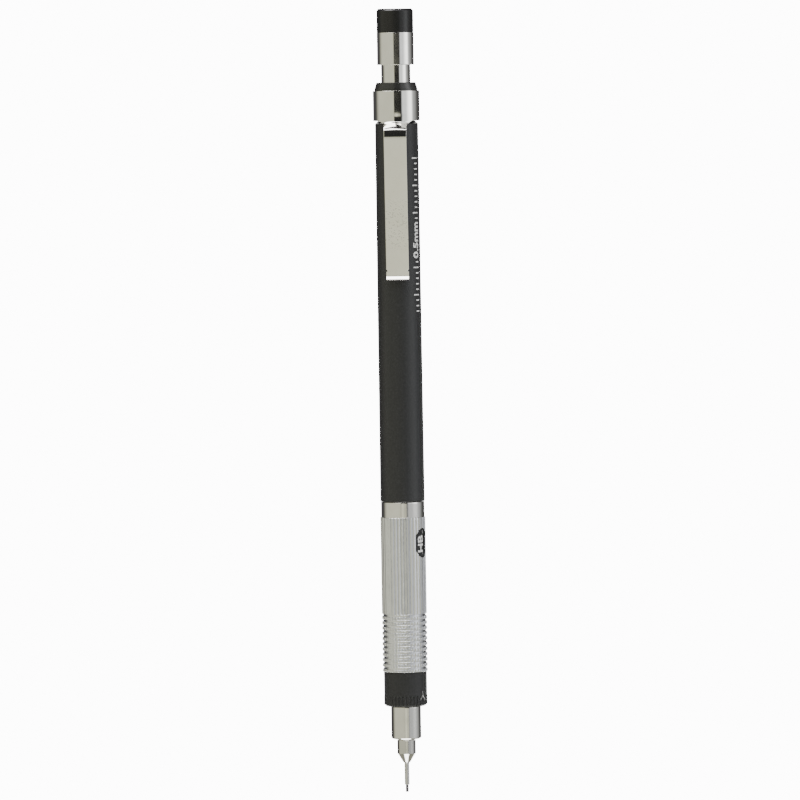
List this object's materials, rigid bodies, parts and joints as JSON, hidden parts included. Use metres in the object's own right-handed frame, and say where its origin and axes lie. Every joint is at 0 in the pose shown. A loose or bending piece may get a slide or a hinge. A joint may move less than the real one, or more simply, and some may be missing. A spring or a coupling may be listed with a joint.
{
  "type": "mechanical pencil",
  "caption": "Slim drafting pencil with a fluted metal grip, long black barrel, pocket clip, turning lead-grade dial and push cap over an eraser.",
  "frame": {"origin": "on the pencil's axis, half way up the metal grip, where the fingers hold it", "axes": "+Z along the axis from the writing point to the push cap; the clip faces -Y; +X completes the right-handed set"},
  "size_m": [0.0086, 0.0106, 0.144],
  "materials": {
    "black_barrel": "satin",
    "black_plastic": "satin",
    "bright_plate": "gloss",
    "satin_metal": "satin",
    "plain_steel": "satin",
    "brass": "satin",
    "pale_plastic": "satin",
    "white_rubber": "matte",
    "dark_rubber": "matte",
    "graphite": "satin"
  },
  "bodies": {
    "holder": {"barrel": "black_barrel", "top_bush": "black_plastic", "clip_ring": "bright_plate", "front_tube": "brass", "joint_ring": "bright_plate", "grip": "satin_metal", "nose": "bright_plate", "guide_pipe": "plain_steel", "lead_retainer": "dark_rubber", "chuck_housing": "pale_plastic", "chuck_spring": "plain_steel"},
    "push_rod": {"ferrule": "bright_plate", "eraser": "white_rubber", "clean_out_pin": "plain_steel", "lead_tube": "pale_plastic", "chuck_coupler": "pale_plastic", "chuck": "brass", "spare_lead_1": "graphite", "spare_lead_2": "graphite", "spare_lead_3": "graphite"},
    "cap": {"push_cap": "bright_plate", "cap_top": "black_plastic"},
    "clamp": {"chuck_ring": "brass"},
    "dial": {"grade_dial": "black_plastic"},
    "clip": {"clip_arm": "bright_plate"},
    "writing_lead": {"lead": "graphite"}
  },
  "joints": [
    {"name": "push", "type": "slide", "parent": "holder", "child": "push_rod", "axis": [0, 0, -1], "range_m": [0, 0.003], "stiffness_N_per_m": 1100, "springref_m": -0.0025, "deforming": ["chuck_spring"]},
    {"name": "clamp_slide", "type": "slide", "parent": "holder", "child": "clamp", "axis": [0, 0, -1], "range_m": [0, 0.0009]},
    {"name": "cap_pull", "type": "slide", "parent": "push_rod", "child": "cap", "axis": [0, 0, 1], "range_m": [0, 0.008]},
    {"name": "lead_feed", "type": "slide", "parent": "holder", "child": "writing_lead", "axis": [0, 0, -1], "range_m": [-0.00135, 0.046]},
    {"name": "dial_turn", "type": "hinge", "parent": "holder", "child": "dial", "pos_m": [0, 0, -0.0174], "axis": [0, 0, 1], "continuous": true},
    {"name": "clip_flex", "type": "hinge", "parent": "holder", "child": "clip", "pos_m": [0, -0.00427, 0.08687], "axis": [-1, 0, 0], "range_deg": [0, 5], "stiffness_Nm_per_rad": 1.7, "springref_deg": -1.72}
  ],
  "couplings": [
    {"joint": "clamp_slide", "follows": "push", "ratio": 0.3}
  ]
}
